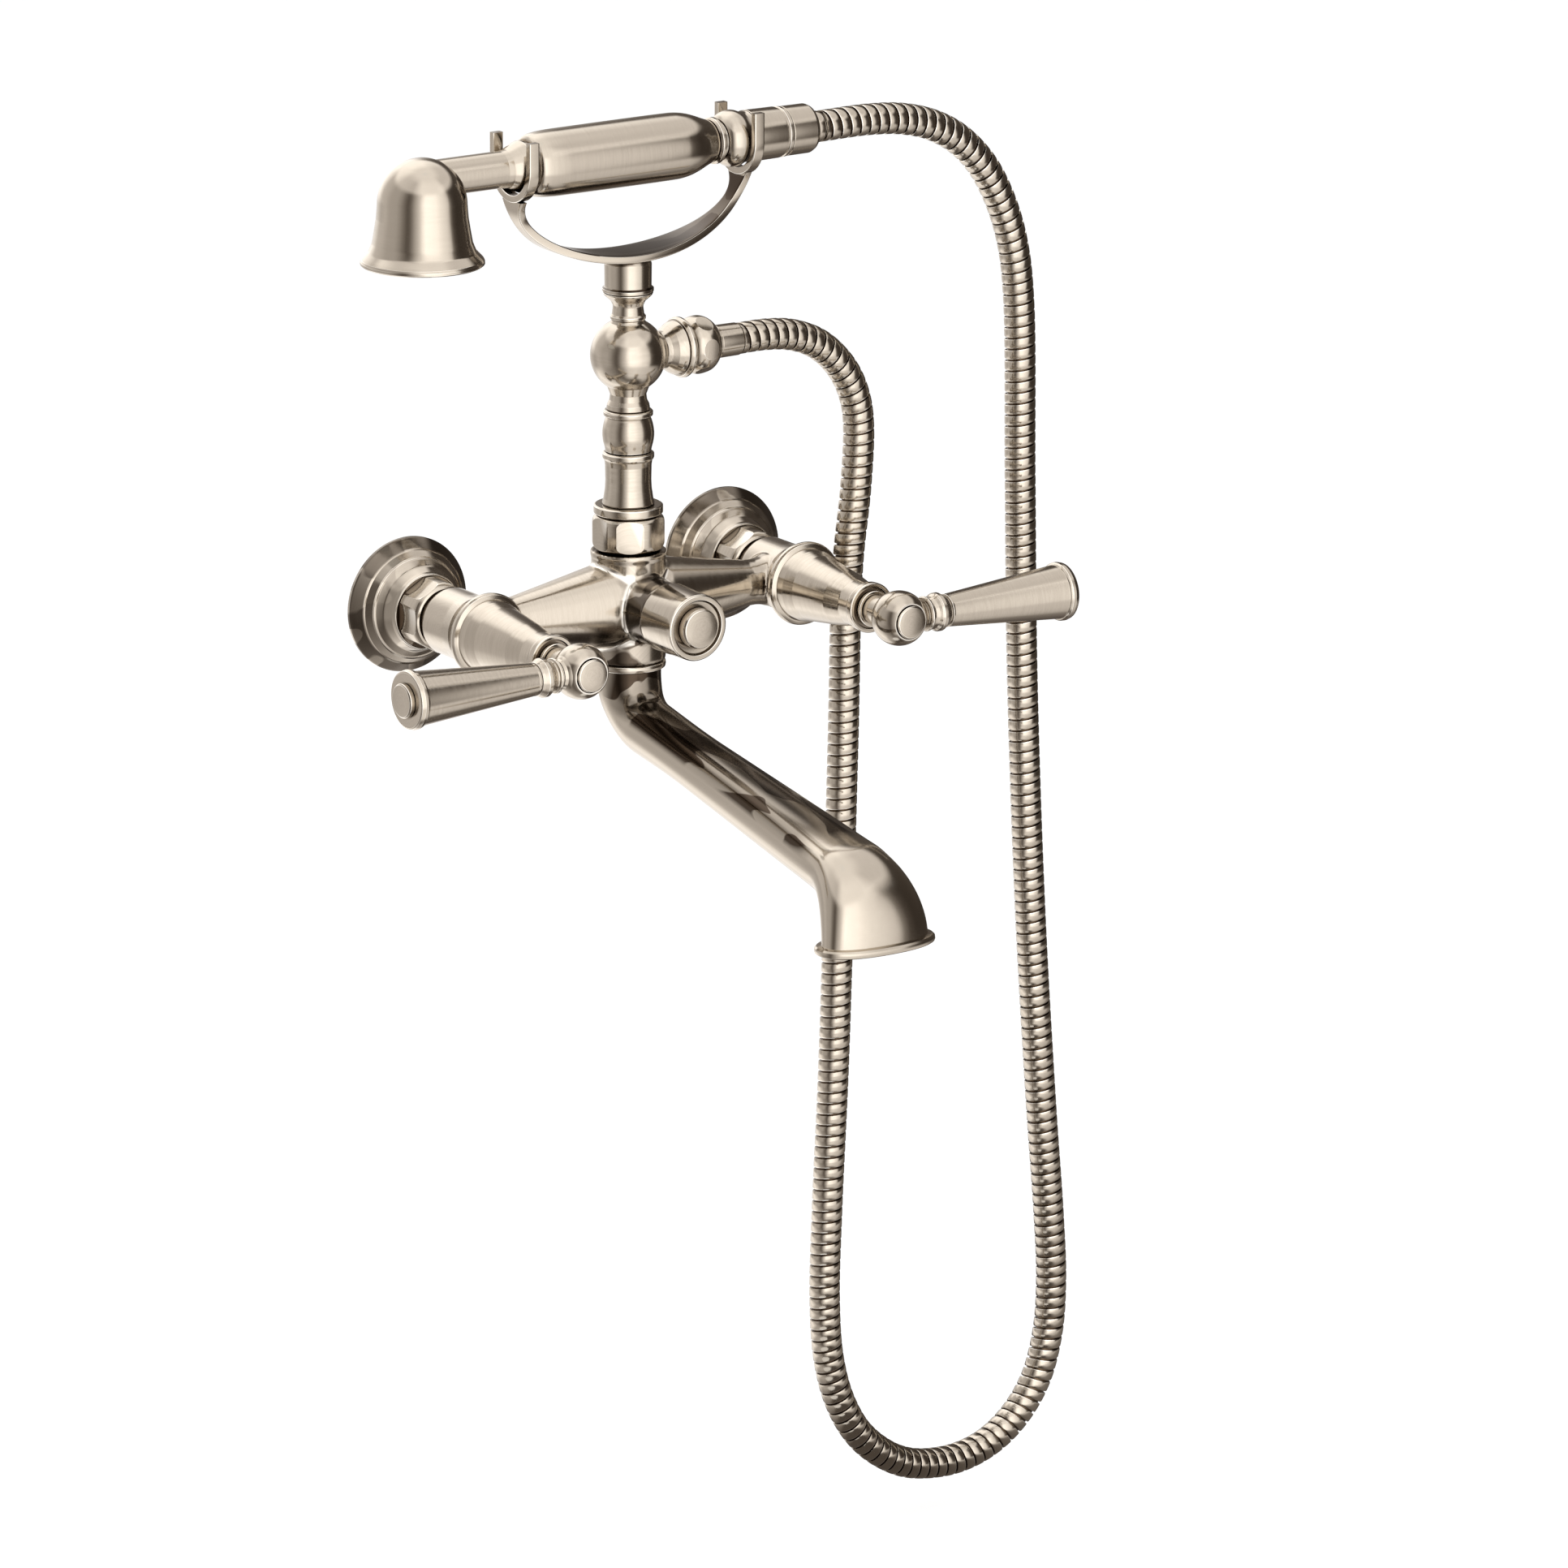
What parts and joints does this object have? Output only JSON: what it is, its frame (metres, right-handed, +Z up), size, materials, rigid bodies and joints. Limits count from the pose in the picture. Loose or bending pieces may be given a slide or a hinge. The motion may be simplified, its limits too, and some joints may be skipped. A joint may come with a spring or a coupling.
{
  "type": "wall mounted bath faucet",
  "caption": "Exposed wall mounted bath mixer with lever handles, swivelling spout, pull-out diverter and a hand shower on a hose, resting in a cradle on a turned riser.",
  "frame": {"origin": "on the finished wall, midway between the two water inlets", "axes": "+X to the right for someone facing the wall, -Y out of the wall towards them, +Z up"},
  "size_m": [0.447, 0.2943, 0.709],
  "materials": {
    "nickel": "brass, plated with warm brushed nickel",
    "bare_brass": "unplated machined brass",
    "steel": "stainless steel",
    "rubber": "matte black rubber",
    "nylon": "pale nylon",
    "hose_metal": "wound strip hose in warm brushed nickel"
  },
  "bodies": {
    "faucet": {"wall_union_left": "bare_brass", "escutcheon_left": "nickel", "union_nut_left": "nickel", "inlet_washer_left": "rubber", "valve_bonnet_left": "nickel", "valve_cartridge_left": "bare_brass", "wall_union_right": "bare_brass", "escutcheon_right": "nickel", "union_nut_right": "nickel", "inlet_washer_right": "rubber", "valve_bonnet_right": "nickel", "valve_cartridge_right": "bare_brass", "mixer_body": "nickel", "diverter_sleeve": "bare_brass", "spout_collar": "nickel", "riser_nut": "nickel", "riser_washer": "rubber", "riser_collar": "nickel", "riser_column": "nickel", "riser_baluster": "nickel", "ball_tee": "nickel", "check_valve": "nylon", "cradle": "nickel", "cradle_stud": "steel", "hose_nut_valve": "nickel", "hose_washer_valve": "rubber", "hose_ferrule_valve": "nickel", "shower_hose": "hose_metal"},
    "handle_left": {"valve_stem_left": "bare_brass", "handle_hub_left": "nickel", "handle_screw_left": "steel", "hub_cap_left": "nickel", "handle_lever_left": "nickel", "lever_end_cap_left": "nickel"},
    "handle_right": {"valve_stem_right": "bare_brass", "handle_hub_right": "nickel", "handle_screw_right": "steel", "hub_cap_right": "nickel", "handle_lever_right": "nickel", "lever_end_cap_right": "nickel"},
    "diverter": {"diverter_stem": "bare_brass", "diverter_seal": "rubber", "diverter_knob": "nickel", "diverter_cap": "nickel"},
    "spout": {"spout": "nickel", "spout_o_ring": "rubber", "flow_plate": "steel"},
    "hand_shower": {"shower_bell": "nickel", "spray_plate": "nylon", "shower_neck": "nickel", "shower_grip": "nickel", "shower_ferrule": "nickel", "shower_bead": "nickel", "shower_connector": "nickel", "hose_nut_shower": "nickel", "hose_washer_shower": "rubber", "hose_tail_shower": "bare_brass"}
  },
  "joints": [
    {"name": "lever_left_turn", "type": "hinge", "parent": "faucet", "child": "handle_left", "pos_m": [-0.09, -0.1524, 0], "axis": [0, -1, 0], "range_deg": [0, 90]},
    {"name": "lever_right_turn", "type": "hinge", "parent": "faucet", "child": "handle_right", "pos_m": [0.09, -0.1524, 0], "axis": [0, 1, 0], "range_deg": [0, 90]},
    {"name": "diverter_pull", "type": "slide", "parent": "faucet", "child": "diverter", "axis": [0, -1, 0], "range_m": [0, 0.008]},
    {"name": "spout_swivel", "type": "hinge", "parent": "faucet", "child": "spout", "pos_m": [0, -0.0556, -0.03], "axis": [0, 0, 1], "range_deg": [-25, 25]},
    {"name": "shower_lift", "type": "slide", "parent": "faucet", "child": "hand_shower", "axis": [0, 0, 1], "range_m": [0, 0.06]}
  ]
}
